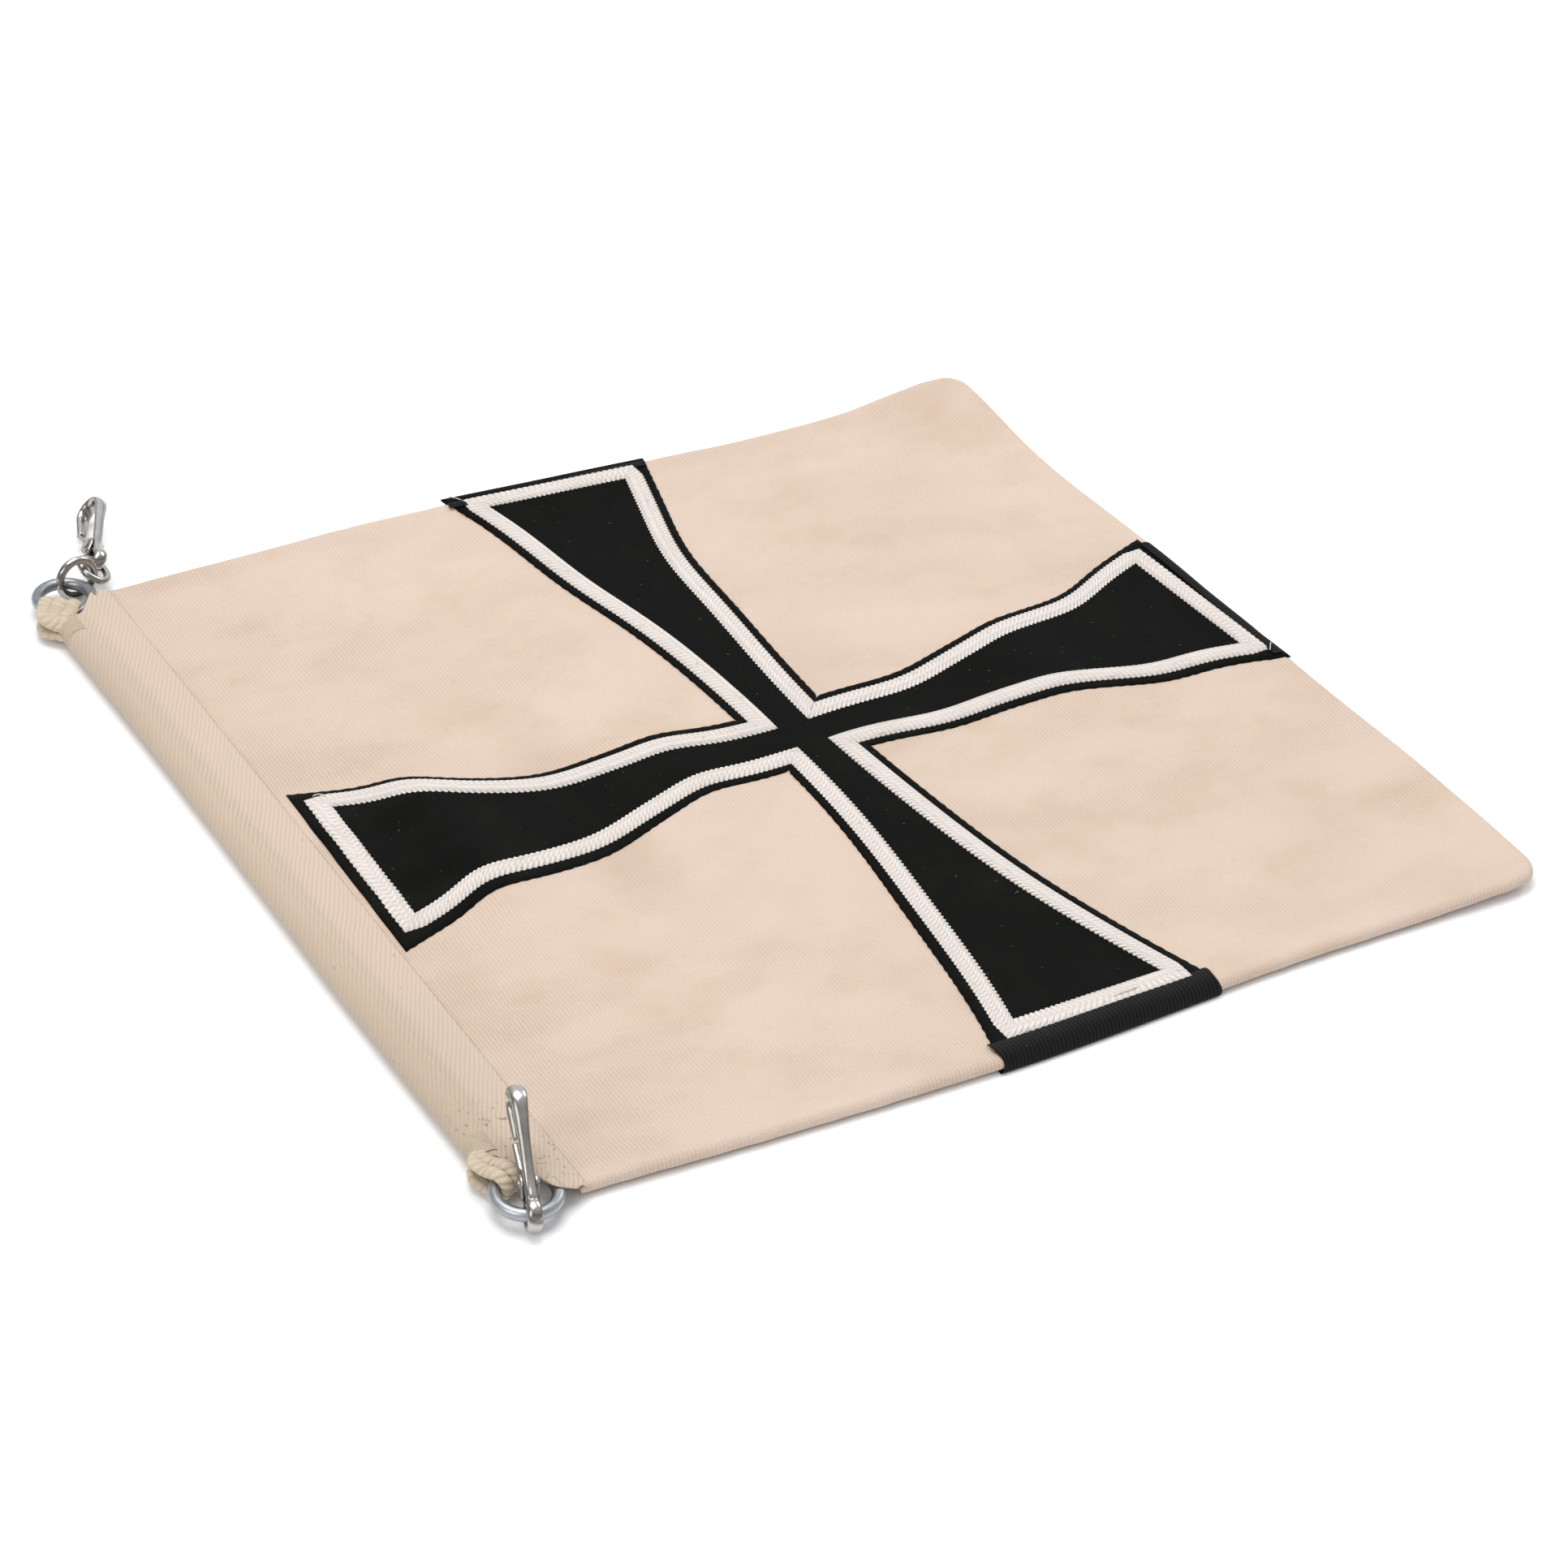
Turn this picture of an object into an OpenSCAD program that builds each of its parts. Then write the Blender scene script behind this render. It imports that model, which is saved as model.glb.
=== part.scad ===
// Square two-layer cloth flag with a sewn cross figure, a rope hoist sleeve,
// a ring at each end of the hoist and a snap hook on each ring.
// Frame: millimetres, +Z up, the flag lies on the plane z = 0.  The hoist rope runs
// along Y, the field reaches out along +X, and the origin is under the cross's centre.

/* [Field] */
// Plane of the sleeve seam, where the field starts (distance from the cross's centre)
hoist_x = 155; // [150:1:160]
// Distance from the cross's centre to the fly edge, at the front corner
fly_front_x = 158; // [154:1:162]
// Distance from the cross's centre to the fly edge, at the rear corner
fly_rear_x = 149; // [146:1:154]
// Distance from the cross's centre to the front edge
front_y = 152; // [150:0.5:156]
// Distance from the cross's centre to the rear edge, at the hoist half
rear_y = 151.5; // [150:0.5:155]
// How much the rear edge runs in towards the fly corner
rear_run_in = 5; // [0:0.5:8]
// Radius of the turned fly corners
corner_r = 9; // [4:1:14]
// Thickness of one cloth panel
panel_t = 0.8; // [0.5:0.1:1.2]
// Thickness of the layer between the two panels
inner_t = 1.0; // [0.6:0.1:1.4]
// Width of the turned-in seam allowance
hem_w = 12; // [8:1:16]

/* [Cross] */
// Turn of the sewn cross against the hoist, in degrees
cross_turn = 2.1; // [0:0.1:4]
// Length of one black arm, from the centre
arm_len = 143; // [135:1:145]
// Half width of an arm where the four arms meet
arm_root_w = 5.2; // [4:0.2:8]
// Radius of the hollow arc along an arm's side
arm_arc_r = 501; // [400:1:700]
// Width of the white braid round the cross
braid_w = 6.4; // [4:0.2:8]
// Width of the black cloth outside the braid
margin_w = 3.1; // [2:0.1:4]
// Thickness of the cross's black cloth
cross_t = 0.6; // [0.4:0.1:0.8]
// Thickness of the braid
braid_t = 0.6; // [0.4:0.1:0.9]

/* [Hoist] */
// Radius of the hoist rope
rope_r = 3.2; // [2.8:0.1:3.4]
// Outer radius of the rolled sleeve
sleeve_r = 4.8; // [4.7:0.1:5]
// Distance of the rope from the sleeve seam
rope_off = 18.4; // [17:0.1:20]
// Outer radius of the rope's end eyes
eye_r = 4.9; // [4.6:0.1:4.9]

/* [Rings] */
// Middle radius of the two hoist rings
ring_big_r = 8.2; // [8:0.1:9]
// Wire radius of the two hoist rings
ring_wire_r = 1.8; // [1.6:0.1:1.9]

/* [Snap hooks] */
// Depth of the hook body, across its plane
hook_depth = 4.8; // [4.4:0.1:5.2]
// Radius of the gate's rivet
rivet_r = 0.8; // [0.7:0.05:0.9]

/* [Hidden] */
$fn = 64;
cut = 0.5;                          // how far a cutting solid runs past a face

// heights of the layers
back_z = cross_t + braid_t - 0.2;   // underside of the back panel
inner_z = back_z + panel_t;         // underside of the middle layer
top_z = inner_z + inner_t;          // underside of the front panel
cloth_top = top_z + panel_t;        // upper face of the front panel
seam_z = (back_z + cloth_top) / 2;  // height of the hoist seam's fold line
seam_r = (cloth_top - back_z) / 2;  // radius of the field's rounded hoist edge
seam_gap = 0.35;                    // room between sleeve and field at the fold line
stack_x = 1.8;                      // the cross stops this far from the fold line
wrap_t = 0.8;                       // thickness of the black cloth round an edge
wrap_z = 0.3;                       // height of its lower edge
wrap_w = 70;                        // its length along the edge
arm_shift = arm_len * sin(cross_turn);  // sideways place of an arm's end
rear_bow_x = -42;                   // here the rear edge starts to run in
rear_lean = atan(rear_run_in / (fly_rear_x - corner_r - rear_bow_x));
fly_lean = atan((fly_front_x - fly_rear_x) / (front_y + rear_y - rear_run_in - 2 * corner_r));

// hoist
rope_x = -hoist_x - rope_off;
rope_z = eye_r + 0.1;
eye_w = 5.6;                          // length of a rope eye's hole
eye_hole_r = 2.9;
sleeve_hollow_r = sleeve_r - 0.8;
sleeve_front_y = -132.5;
sleeve_rear_y = 138;

// front ring: its middle, and the turn of its rope eye about Z
front_ring_pos = [-170.5, -146.5, rope_z];
front_eye_turn = 26;
front_eye_pos = front_ring_pos
    + ring_big_r * [-sin(front_eye_turn), cos(front_eye_turn), 0];
// rear ring
rear_ring_pos = [-168.7, 151, rope_z];
rear_eye_turn = 35;
rear_eye_pos = rear_ring_pos
    - ring_big_r * [sin(rear_eye_turn), cos(rear_eye_turn), 0];

// links of the rear chain
link_r = 5.9;                       // middle radius of the upright link
link_wire_r = 1.3;
link_pos = [-162.4, 156.55, 7.38];
link_turn = 9.3;                    // turn of the link's plane about Z
link_lean = 3.4;
small_r = 4.7;                      // middle radius of the small ring
small_wire_r = 1.15;
small_pos = [-155.87, 159.05, 6.99];
small_tip = 57.2;                   // how far the small ring is tipped up on edge
rear_tip = 50;                      // how far the rear hook is tipped up on edge
rear_hook_dir = 23.7;               // direction of the rear hook, from +Y towards +X

// snap hooks, in a plane with x along the hook from the eye and y across it
hook_hole_r = 2.7;                  // hole of the eye
hook_eye_r = 4.3;
gate_pivot = [8, -0.8];
cheek_r = 2.7;                      // round cheeks that hold the rivet
slot_w = 3.2;                       // slot between the cheeks
crown_c = [28.4, -1.3];             // middle of the bend at the hook's far end
crown_r = 5.6;
hook_t = 2.2;                       // thickness of the hook's band
nose_x = 20.8;                      // the nose ends here
gate_run = 0.06;                    // running clearance of the gate on its rivet
gate_plate_w = 1.5;
gate_w = 3.8;
gate_x = 20.4;                      // the gate ends here
front_hook_dir = 17;                // direction of the front hook, from +Y towards +X
front_hook_rise = 36;               // how far it leans up over the sleeve
front_hook_pos = front_ring_pos - ring_big_r * [sin(front_hook_dir), cos(front_hook_dir), 0];
rear_hook_pos = small_pos + small_r * [sin(rear_hook_dir), cos(rear_hook_dir), 0];

// ---- outlines ----

// points of an arc about c, from angle a0 to a1, in n steps
function arc(c, r, a0, a1, n) =
    [for (i = [0:n]) c + r * [cos(a0 + (a1 - a0) * i / n), sin(a0 + (a1 - a0) * i / n)]];

// outline of the cloth, moved in by d
function field_outline(d) =
    let (r = max(corner_r - d, 1))
    concat(
        [[-hoist_x + d, -front_y + d]],
        arc([fly_front_x - d - r, -front_y + d + r], r, -90, 0, 6),
        arc([fly_rear_x - d - r, rear_y - rear_run_in - d - r], r, 0, 90, 6),
        [[rear_bow_x, rear_y - d], [-hoist_x + d, rear_y - d]]);

// half width of an arm at distance s from the centre, grown outwards by d
function arm_w(s, d) = arm_root_w + arm_arc_r - sqrt(pow(arm_arc_r - d, 2) - s * s);

arm_steps = 10;
// outline of the cross, grown outwards by d
function cross_outline(d) =
    let (s0 = arm_w(arm_root_w + d, d), s1 = arm_len + d)
    [for (k = [0:3])
        let (side = concat(
            [for (i = [0:arm_steps]) let (s = s0 + (s1 - s0) * i / arm_steps) [s, -arm_w(s, d)]],
            [for (i = [arm_steps:-1:1]) let (s = s0 + (s1 - s0) * i / arm_steps) [s, arm_w(s, d)]]))
        for (p = side) [p[0] * cos(90 * k) - p[1] * sin(90 * k), p[0] * sin(90 * k) + p[1] * cos(90 * k)]];

module cross_2d(d) {
    rotate(cross_turn) polygon(cross_outline(d));
}

// ---- cloth ----

// one cloth panel; its hoist side stops at the fold line, where a round edge closes the field
module panel(z) {
    translate([0, 0, z]) linear_extrude(panel_t) polygon(field_outline(0));
}

module field_front_panel() {
    color("antiquewhite") panel(top_z);
}

module field_back_panel() {
    color("antiquewhite") panel(back_z);
}

// the allowances of both panels, turned in along the three free edges and the hoist
module seam_allowance() {
    color("bisque") {
        translate([0, 0, inner_z]) linear_extrude(inner_t) difference() {
            polygon(field_outline(0));
            polygon(field_outline(hem_w));
        }
        intersection() {
            translate([-hoist_x, -front_y, seam_z]) rotate([-90, 0, 0])
                cylinder(r = seam_r, h = front_y + rear_y);
            translate([-hoist_x - 2 * seam_r, -front_y, seam_z - 2 * seam_r])
                cube([2 * seam_r, front_y + rear_y, 4 * seam_r]);
        }
    }
}

module interlining() {
    color("linen") translate([0, 0, inner_z]) linear_extrude(inner_t) polygon(field_outline(hem_w));
}

// the part of the field that the cross may cover
module cover_2d() {
    intersection() {
        polygon(field_outline(0));
        translate([-hoist_x + stack_x, -2 * front_y]) square([3 * hoist_x, 4 * front_y]);
    }
}

// black cloth of one side, with a shallow bed that the braid lies in
module cross_cloth(z, bed_z) {
    color([0.11, 0.11, 0.1]) difference() {
        translate([0, 0, z]) linear_extrude(cross_t + 0.4) intersection() {
            cross_2d(braid_w + margin_w);
            cover_2d();
        }
        translate([0, 0, bed_z]) linear_extrude(braid_t) braid_2d();
    }
}

module braid_2d() {
    intersection() {
        difference() {
            cross_2d(braid_w);
            cross_2d(0);
        }
        polygon(field_outline(0));
    }
}

module cross_front() {
    cross_cloth(cloth_top, cloth_top + 0.4);
}

module cross_back() {
    cross_cloth(0, 0);
}

module braid_front() {
    color("ivory") translate([0, 0, cloth_top + 0.4]) linear_extrude(braid_t + 0.3) braid_2d();
}

module braid_back() {
    color("ivory") linear_extrude(braid_t) braid_2d();
}

// black cloth carried round the edge at an arm's end; it runs along +X, outside on -Y
module edge_wrap(length) {
    color([0.11, 0.11, 0.1]) translate([0, -wrap_t - 0.02, wrap_z]) cube([length, wrap_t, cloth_top + 0.7 - wrap_z]);
}

module rear_edge_wrap() {
    translate([rear_bow_x + wrap_w, rear_y, 0]) rotate([0, 0, 180 - rear_lean])
        translate([0, wrap_w * sin(rear_lean), 0]) edge_wrap(wrap_w);
}

module fly_edge_wrap() {
    translate([fly_front_x, -front_y + corner_r, 0]) rotate([0, 0, 90 + fly_lean])
        translate([front_y - corner_r + arm_shift - wrap_w / 2, 0, 0]) edge_wrap(wrap_w);
}

module front_edge_wrap() {
    translate([arm_shift - wrap_w / 2, -front_y, 0]) edge_wrap(wrap_w);
}

// ---- hoist ----

module hoist_sleeve() {
    tail_x = -hoist_x - seam_r - seam_gap;
    length = sleeve_rear_y - sleeve_front_y;
    color("wheat") translate([0, sleeve_rear_y, 0]) rotate([90, 0, 0]) linear_extrude(length)
        difference() {
            union() {
                translate([rope_x, rope_z]) circle(sleeve_r);
                polygon([[rope_x, rope_z - sleeve_r], [tail_x - 5, back_z - 0.3], [tail_x, back_z],
                         [tail_x, cloth_top], [tail_x - 5, cloth_top + 0.5],
                         [rope_x + 1.5, rope_z + sleeve_r - 0.25]]);
            }
            translate([rope_x, rope_z]) circle(sleeve_hollow_r);
        }
}

// the rope's eye: a short tube of rope round the ring's wire, turned about Z
module rope_eye(pos, turn) {
    translate(pos) rotate([0, 90, turn]) cylinder(r = eye_r, h = eye_w, center = true);
}

module eye_hole(pos, turn) {
    translate(pos) rotate([0, 90, turn]) cylinder(r = eye_hole_r, h = eye_w + 4, center = true);
}

module hoist_rope() {
    color("burlywood") difference() {
        union() {
            translate([rope_x, front_eye_pos[1] + 3.2, rope_z]) rotate([-90, 0, 0])
                cylinder(r = rope_r, h = rear_eye_pos[1] - front_eye_pos[1] - 6.4);
            rope_eye(front_eye_pos, front_eye_turn);
            rope_eye(rear_eye_pos, -rear_eye_turn);
        }
        eye_hole(front_eye_pos, front_eye_turn);
        eye_hole(rear_eye_pos, -rear_eye_turn);
    }
}

// turns of thread that bind the rope behind an eye
module whipping(y) {
    color("tan") translate([rope_x, y, rope_z]) rotate([-90, 0, 0]) difference() {
        cylinder(r = sleeve_hollow_r - 0.1, h = 8);
        translate([0, 0, -cut]) cylinder(r = rope_r, h = 8 + 2 * cut);
    }
}

module front_whipping() {
    whipping(sleeve_front_y + 1);
}

module rear_whipping() {
    whipping(sleeve_rear_y - 9);
}

// ---- rings and links ----

module wire_ring(middle_r, wire_r) {
    rotate_extrude($fn = 96) translate([middle_r, 0]) circle(wire_r, $fn = 32);
}

module front_ring() {
    color("silver") translate(front_ring_pos) wire_ring(ring_big_r, ring_wire_r);
}

module rear_ring() {
    color("silver") translate(rear_ring_pos) wire_ring(ring_big_r, ring_wire_r);
}

// upright link that passes round the rear ring's wire
module rear_link() {
    color("gainsboro") translate(link_pos) rotate([90 - link_lean, 0, link_turn]) wire_ring(link_r, link_wire_r);
}

module rear_small_ring() {
    color("gainsboro") translate(small_pos) rotate([0, 90 - small_tip, -rear_hook_dir]) wire_ring(small_r, small_wire_r);
}

// ---- snap hooks ----

module at_hook(pos, dir, rise, roll) {
    translate(pos) rotate([0, 0, 90 - dir]) rotate([0, -rise, 0]) rotate([roll, 0, 0]) children();
}

module at_front_hook(pos) {
    at_hook(pos, front_hook_dir, front_hook_rise, 90) children();
}

module at_rear_hook(pos) {
    at_hook(pos, rear_hook_dir, 0, 180 - rear_tip) children();
}

// extrusion centred on the hook's plane
module slab(w) {
    translate([0, 0, -w / 2]) linear_extrude(w) children();
}

module hook_band_2d() {
    circle(hook_eye_r);
    translate(gate_pivot) circle(cheek_r);
    polygon([[2.8, -3], [7.4, -3.4], [10.6, -1], [10.6, 2.6], [3, 3]]);
    // shank, a little wider apart from the nose towards the crown
    polygon([[6, 0.4], [crown_c[0], crown_c[1] + crown_r - hook_t], [crown_c[0], crown_c[1] + crown_r], [6, 2.3]]);
    // crown, a half ring
    intersection() {
        translate(crown_c) difference() {
            circle(crown_r);
            circle(crown_r - hook_t);
        }
        translate([crown_c[0], -20]) square(40);
    }
    // nose
    polygon([[crown_c[0], crown_c[1] - crown_r], [crown_c[0], crown_c[1] - crown_r + hook_t],
             [nose_x, -5.2], [nose_x, -6.9]]);
}

module hook_body() {
    color("gainsboro") difference() {
        slab(hook_depth) hook_band_2d();
        slab(hook_depth + 2 * cut) circle(hook_hole_r);
        slab(hook_depth + 2 * cut) translate(gate_pivot) circle(rivet_r);
        // slot for the gate's foot
        translate([5.4, -7, -slot_w / 2]) cube([8, 8.9, slot_w]);
    }
}

module hook_gate() {
    plate_z = 0.2 - gate_plate_w;
    color("silver") difference() {
        union() {
            translate([0, 0, plate_z]) linear_extrude(gate_plate_w) {
                translate(gate_pivot) circle(2);
                polygon([[7.2, -2.6], [12.2, -3.42], [12.8, -1.85], [9, 0.9]]);
            }
            // its end is slanted, so that it clears the nose as it swings in
            slab(gate_w) polygon([[11.4, -3.1], [gate_x - 0.9, -6.9], [gate_x, -5.1], [12, -1.5]]);
            // tongue that closes behind the nose
            slab(2.4) polygon([[18.4, -4.9], [gate_x - 0.1, -5.1], [gate_x + 0.1, -4.9], [22.4, -4.75],
                               [22.4, -4], [19, -3.6]]);
        }
        translate([gate_pivot[0], gate_pivot[1], -hook_depth]) cylinder(r = rivet_r + gate_run, h = 2 * hook_depth);
    }
}

module hook_rivet() {
    color("gray") translate([gate_pivot[0], gate_pivot[1], 0]) {
        translate([0, 0, -hook_depth / 2]) cylinder(r = rivet_r, h = hook_depth);
        for (side = [0, 180]) rotate([side, 0, 0])
            translate([0, 0, hook_depth / 2]) cylinder(r = 1.4, h = 0.35);
    }
}

// coil of the gate's spring, on the rivet beside the gate's foot
module hook_spring() {
    color("dimgray") translate([gate_pivot[0], gate_pivot[1], 0.5]) difference() {
        cylinder(r = 1.9, h = 0.95);
        translate([0, 0, -cut]) cylinder(r = rivet_r + 0.15, h = 0.95 + 2 * cut);
    }
}

module front_hook_body() {
    at_front_hook(front_hook_pos) hook_body();
}

module front_hook_gate() {
    at_front_hook(front_hook_pos) hook_gate();
}

module front_hook_rivet() {
    at_front_hook(front_hook_pos) hook_rivet();
}

module front_hook_spring() {
    at_front_hook(front_hook_pos) hook_spring();
}

module rear_hook_body() {
    at_rear_hook(rear_hook_pos) hook_body();
}

module rear_hook_gate() {
    at_rear_hook(rear_hook_pos) hook_gate();
}

module rear_hook_rivet() {
    at_rear_hook(rear_hook_pos) hook_rivet();
}

module rear_hook_spring() {
    at_rear_hook(rear_hook_pos) hook_spring();
}

field_front_panel();
field_back_panel();
seam_allowance();
interlining();
cross_front();
cross_back();
braid_front();
braid_back();
rear_edge_wrap();
fly_edge_wrap();
front_edge_wrap();
hoist_sleeve();
hoist_rope();
front_whipping();
rear_whipping();
front_ring();
front_hook_body();
front_hook_gate();
front_hook_rivet();
front_hook_spring();
rear_ring();
rear_link();
rear_small_ring();
rear_hook_body();
rear_hook_gate();
rear_hook_rivet();
rear_hook_spring();
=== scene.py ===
"""Looks of a square cloth pennant with a roped hoist, two rings and two snap hooks.

The flag lies on a pale floor. +Y runs along the hoist rope, +X out to the fly edge.
Lengths in the shape code are millimetres and are turned into metres when a mesh is made.
"""

import math

import bmesh
import bpy
import numpy as np
from mathutils import Matrix, Vector
from mathutils import noise as mnoise


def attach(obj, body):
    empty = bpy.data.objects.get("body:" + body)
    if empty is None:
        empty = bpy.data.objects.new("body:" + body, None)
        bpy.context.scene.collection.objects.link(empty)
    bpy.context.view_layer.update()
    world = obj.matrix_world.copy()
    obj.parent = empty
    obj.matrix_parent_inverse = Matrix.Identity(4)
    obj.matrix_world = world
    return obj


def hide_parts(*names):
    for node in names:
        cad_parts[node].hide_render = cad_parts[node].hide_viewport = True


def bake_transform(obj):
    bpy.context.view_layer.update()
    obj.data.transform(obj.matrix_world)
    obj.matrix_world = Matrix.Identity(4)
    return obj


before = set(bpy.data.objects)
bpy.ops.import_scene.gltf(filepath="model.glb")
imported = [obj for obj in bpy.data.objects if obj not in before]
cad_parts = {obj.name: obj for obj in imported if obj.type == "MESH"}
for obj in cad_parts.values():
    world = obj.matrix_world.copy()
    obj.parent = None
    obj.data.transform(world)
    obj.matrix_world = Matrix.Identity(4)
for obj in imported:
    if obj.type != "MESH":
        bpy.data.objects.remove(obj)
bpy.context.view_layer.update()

bl_info = {
    "name": "Roped pennant",
    "version": (1, 0, 0),
    "blender": (4, 5, 0),
    "location": "3D View > Sidebar > Pennant",
    "description": "Cloth field, sewn cross, hoist sleeve and fittings of a small pennant",
    "category": "Object",
}

MM = 0.001
SEED = 7


# ---------------------------------------------------------------- sizes and colours

class PennantSizes(bpy.types.PropertyGroup):
    braid_width: bpy.props.FloatProperty(
        name="Braid width", description="Width of the white braid", default=0.0062,
        min=0.003, max=0.01, subtype="DISTANCE", unit="LENGTH")
    braid_height: bpy.props.FloatProperty(
        name="Braid height", description="How far the braid stands over the black cloth",
        default=0.0008, min=0.0003, max=0.002, subtype="DISTANCE", unit="LENGTH")
    margin_width: bpy.props.FloatProperty(
        name="Black margin", description="Black cloth that shows outside the braid",
        default=0.0026, min=0.0, max=0.006, subtype="DISTANCE", unit="LENGTH")
    ripple: bpy.props.FloatProperty(
        name="Ripple", description="Strength of the soft ripples in the field",
        default=1.0, min=0.0, max=2.0, subtype="FACTOR")
    rib_pitch: bpy.props.FloatProperty(
        name="Rib pitch", description="Distance between the ribs of the field cloth",
        default=0.0012, min=0.0004, max=0.003, subtype="DISTANCE", unit="LENGTH")
    roll_radius: bpy.props.FloatProperty(
        name="Roll radius", description="Outside radius of the sleeve round the hoist rope",
        default=0.0042, min=0.003, max=0.0048, subtype="DISTANCE", unit="LENGTH")


class PennantColours(bpy.types.PropertyGroup):
    cream: bpy.props.FloatVectorProperty(
        name="Cream cloth", description="Colour of the field", subtype="COLOR", size=3,
        default=(0.625, 0.495, 0.408), min=0, max=1)
    stain: bpy.props.FloatVectorProperty(
        name="Age stain", description="Yellowed patches of the field", subtype="COLOR", size=3,
        default=(0.57, 0.425, 0.29), min=0, max=1)
    black: bpy.props.FloatVectorProperty(
        name="Black cloth", description="Colour of the cross", subtype="COLOR", size=3,
        default=(0.0036, 0.0038, 0.0032), min=0, max=1)
    braid: bpy.props.FloatVectorProperty(
        name="White braid", description="Colour of the braid", subtype="COLOR", size=3,
        default=(0.79, 0.72, 0.665), min=0, max=1)
    tape: bpy.props.FloatVectorProperty(
        name="Sleeve tape", description="Colour of the hoist sleeve", subtype="COLOR", size=3,
        default=(0.605, 0.478, 0.375), min=0, max=1)
    rope: bpy.props.FloatVectorProperty(
        name="Rope", description="Colour of the hoist rope", subtype="COLOR", size=3,
        default=(0.60, 0.50, 0.375), min=0, max=1)
    zinc: bpy.props.FloatVectorProperty(
        name="Galvanised steel", description="Colour of the two hoist rings", subtype="COLOR",
        size=3, default=(0.38, 0.395, 0.415), min=0, max=1)
    chrome: bpy.props.FloatVectorProperty(
        name="Plated steel", description="Colour of hooks and links", subtype="COLOR", size=3,
        default=(0.50, 0.485, 0.46), min=0, max=1)


def sizes():
    return bpy.context.scene.pennant_sizes


def colours():
    return bpy.context.scene.pennant_colours


# ---------------------------------------------------------------- shader expressions

class Sock:
    """A node socket that can be used in arithmetic; each operation adds a Math node."""

    def __init__(self, graph, socket):
        self.graph = graph
        self.socket = socket

    def _op(self, kind, a, b=None, clamp=False):
        return self.graph.node("ShaderNodeMath", {"operation": kind, "use_clamp": clamp},
                               {0: a} if b is None else {0: a, 1: b})

    def __add__(self, other):
        return self._op("ADD", self, other)

    __radd__ = __add__

    def __sub__(self, other):
        return self._op("SUBTRACT", self, other)

    def __rsub__(self, other):
        return self._op("SUBTRACT", other, self)

    def __mul__(self, other):
        return self._op("MULTIPLY", self, other)

    __rmul__ = __mul__

    def __truediv__(self, other):
        return self._op("DIVIDE", self, other)

    def __pow__(self, other):
        return self._op("POWER", self, other)

    def sin(self):
        return self._op("SINE", self)

    def abs(self):
        return self._op("ABSOLUTE", self)

    def clamp(self):
        return self._op("ADD", self, 0.0, clamp=True)

    def above(self, level, softness):
        """0 below level, 1 above it, with a soft step."""
        return self._op("MULTIPLY", self - level, 1.0 / softness, clamp=True)


class Graph:
    """Node tree of one material, with the principled shader at its end."""

    def __init__(self, name):
        self.material = bpy.data.materials.new(name)
        self.material.use_nodes = True
        self.tree = self.material.node_tree
        self.shader = self.tree.nodes["Principled BSDF"]
        self.coords = self.tree.nodes.new("ShaderNodeTexCoord")

    def node(self, kind, settings=None, inputs=None, output=0):
        made = self.tree.nodes.new(kind)
        for key, value in (settings or {}).items():
            if key == "stops":
                ramp = made.color_ramp
                while len(ramp.elements) < len(value):
                    ramp.elements.new(0.5)
                for stop, (place, colour) in zip(ramp.elements, value):
                    stop.position = place
                    stop.color = colour
            else:
                setattr(made, key, value)
        for key, value in (inputs or {}).items():
            self.feed(made.inputs[key], value)
        return Sock(self, made.outputs[output])

    def feed(self, socket, value):
        if isinstance(value, Sock):
            self.tree.links.new(value.socket, socket)
        elif socket.type == "RGBA" and len(value) == 3:
            socket.default_value = (*value, 1.0)
        else:
            socket.default_value = value

    def place(self):
        return Sock(self, self.coords.outputs["Object"])

    def strip(self):
        return Sock(self, self.coords.outputs["UV"])

    def parts(self, vector):
        made = self.tree.nodes.new("ShaderNodeSeparateXYZ")
        self.feed(made.inputs[0], vector)
        return [Sock(self, out) for out in made.outputs]

    def noise(self, scale, detail=3.0, rough=0.55, vector=None, stretch=None):
        vector = vector or self.place()
        if stretch:
            vector = self.node("ShaderNodeVectorMath", {"operation": "MULTIPLY"},
                               {0: vector, 1: stretch})
        return self.node("ShaderNodeTexNoise", {"noise_dimensions": "3D"},
                         {"Vector": vector, "Scale": scale, "Detail": detail, "Roughness": rough})

    def mix(self, share, a, b):
        made = self.tree.nodes.new("ShaderNodeMix")
        made.data_type = "RGBA"
        for socket, value in ((made.inputs[0], share), (made.inputs[6], a), (made.inputs[7], b)):
            self.feed(socket, value)
        return Sock(self, made.outputs[2])

    def bump(self, height, distance, strength):
        made = self.tree.nodes.new("ShaderNodeBump")
        made.inputs["Strength"].default_value = strength
        made.inputs["Distance"].default_value = distance
        self.feed(made.inputs["Height"], height)
        self.tree.links.new(made.outputs["Normal"], self.shader.inputs["Normal"])

    def set(self, **values):
        for key, value in values.items():
            self.feed(self.shader.inputs[key.replace("_", " ")], value)
        return self.material


def tone(colour, factor):
    return [v * factor for v in colour]


def ribs(value, pitch):
    """Rounded ribs from 0 to 1 along a coordinate in metres."""
    return (value * (2 * math.pi / pitch)).sin() * 0.5 + 0.5


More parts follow.
